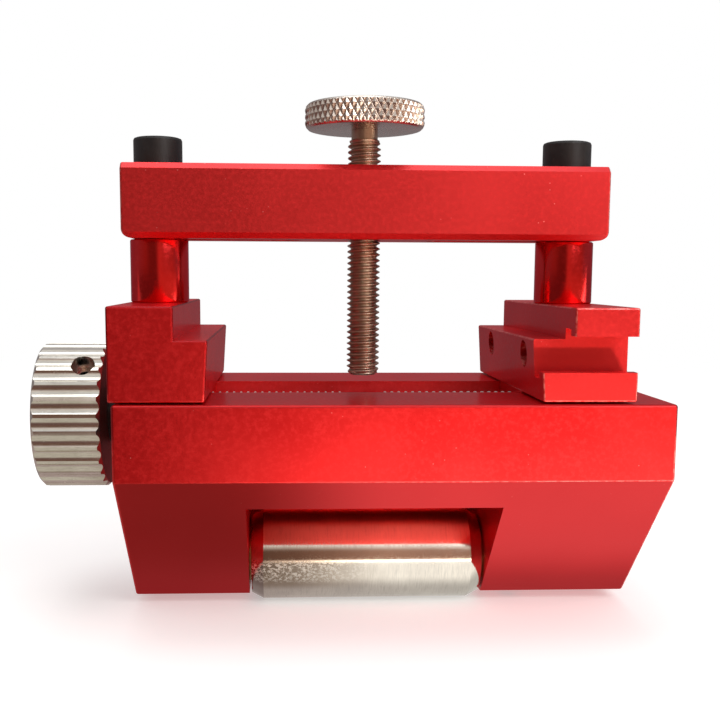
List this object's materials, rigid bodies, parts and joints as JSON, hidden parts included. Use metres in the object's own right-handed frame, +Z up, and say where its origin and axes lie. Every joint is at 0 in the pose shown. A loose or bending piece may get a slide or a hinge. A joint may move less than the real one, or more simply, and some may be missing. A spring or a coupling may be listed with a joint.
{
  "type": "side-clamping honing guide",
  "caption": "Blade sharpening guide: V-bottomed block on a roller, two jaws closed by a double-handed lead screw and knob, and a top clamp bar with a thumb screw.",
  "frame": {"origin": "middle of the tool's bounding box in X and Y, at the lowest line of the roller", "axes": "+X along the lead screw, away from the knob; +Y away from the front face that carries the accessory slot; +Z up, along the thumb screw"},
  "size_m": [0.1026, 0.052, 0.0869],
  "materials": {
    "red_anodised": "bright red anodised, satin, finely pitted",
    "nickel_plate": "bright nickel plate",
    "nickel_steel": "warm nickel plated steel",
    "ground_steel": "ground and scuffed",
    "zinc_steel": "zinc plated",
    "black_oxide_steel": "black oxide",
    "bronze": "sintered bronze"
  },
  "bodies": {
    "base": {"base_block": "red_anodised", "bearing_plate": "red_anodised", "bearing_plate_screws": "black_oxide_steel", "lead_screw_bush_left": "bronze", "lead_screw_bush_right": "bronze", "roller_axle": "zinc_steel", "roller_washers": "bronze", "axle_set_screw": "black_oxide_steel", "clamp_bar": "red_anodised"},
    "lead_screw": {"lead_screw": "zinc_steel", "thrust_washer": "bronze", "knob_spacer": "zinc_steel", "knob": "nickel_plate", "knob_set_screw": "black_oxide_steel"},
    "left_jaw": {"left_jaw": "red_anodised", "left_spacer": "red_anodised", "left_cap_screw": "black_oxide_steel"},
    "right_jaw": {"right_jaw": "red_anodised", "right_spacer": "red_anodised", "right_cap_screw": "black_oxide_steel"},
    "roller": {"roller": "ground_steel", "roller_bush_left": "bronze", "roller_bush_right": "bronze"},
    "thumb_rod": {"thumb_screw_rod": "nickel_steel"},
    "thumb_head": {"thumb_screw_head": "nickel_steel"}
  },
  "joints": [
    {"name": "lead_screw_spin", "type": "hinge", "parent": "base", "child": "lead_screw", "pos_m": [0, 0, 0.03335], "axis": [1, 0, 0], "range_deg": [0, 6300]},
    {"name": "left_jaw_slide", "type": "slide", "parent": "base", "child": "left_jaw", "axis": [1, 0, 0], "range_m": [0, 0.02188]},
    {"name": "right_jaw_slide", "type": "slide", "parent": "base", "child": "right_jaw", "axis": [-1, 0, 0], "range_m": [0, 0.02188]},
    {"name": "roller_spin", "type": "hinge", "parent": "base", "child": "roller", "pos_m": [0.00483, 0, 0.008], "axis": [1, 0, 0], "continuous": true},
    {"name": "thumb_rod_slide", "type": "slide", "parent": "base", "child": "thumb_rod", "axis": [0, 0, 1], "range_m": [-0.00151, 0.01801]},
    {"name": "thumb_head_spin", "type": "hinge", "parent": "thumb_rod", "child": "thumb_head", "pos_m": [0.0043, 0, 0.0848], "axis": [0, 0, 1], "range_deg": [-540, 6480]}
  ],
  "couplings": [
    {"joint": "left_jaw_slide", "follows": "lead_screw_spin", "m_per_rad": 0.00019894},
    {"joint": "right_jaw_slide", "follows": "lead_screw_spin", "m_per_rad": 0.00019894},
    {"joint": "thumb_rod_slide", "follows": "thumb_head_spin", "m_per_rad": 0.00015915}
  ]
}
